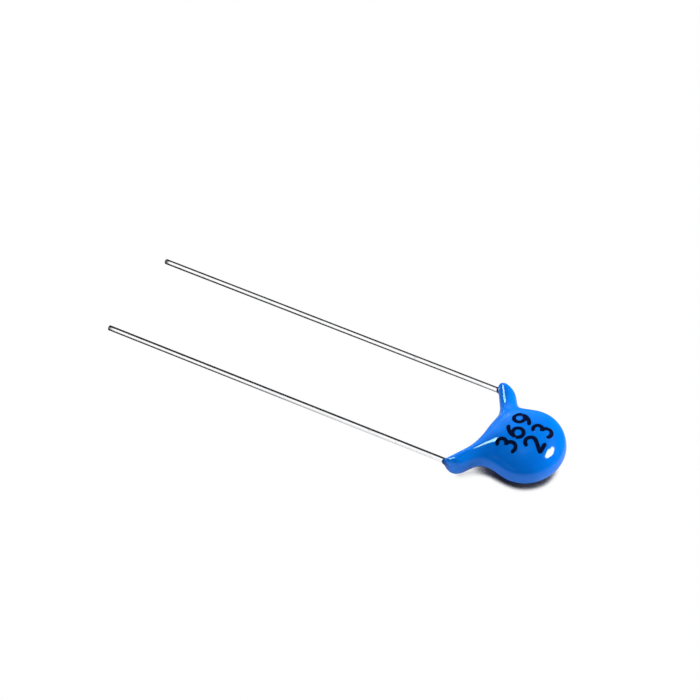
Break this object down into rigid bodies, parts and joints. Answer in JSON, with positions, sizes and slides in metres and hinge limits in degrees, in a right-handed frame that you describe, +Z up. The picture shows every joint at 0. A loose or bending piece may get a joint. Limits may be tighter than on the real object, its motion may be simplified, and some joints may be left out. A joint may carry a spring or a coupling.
{
  "type": "ceramic disc capacitor",
  "caption": "Round ceramic disc dipped in glossy blue epoxy, with a coated leg each side and long straight wire leads, lying flat.",
  "frame": {"origin": "on the surface that the part lies on, under the middle of its bounding box", "axes": "+X from the lead tips towards the disc, +Y across the two leads towards the lower lead, +Z up"},
  "size_m": [0.0452, 0.011, 0.0043],
  "materials": {
    "blue_epoxy": "gloss",
    "fired_ceramic": "matte",
    "fired_silver": "satin",
    "solder": "satin",
    "tinned_wire": "polished"
  },
  "bodies": {
    "root": {"epoxy_coating": "blue_epoxy", "ceramic_disc": "fired_ceramic", "upper_electrode": "fired_silver", "lower_electrode": "fired_silver", "upper_solder": "solder", "lower_solder": "solder", "upper_lead": "tinned_wire", "lower_lead": "tinned_wire"}
  },
  "joints": []
}
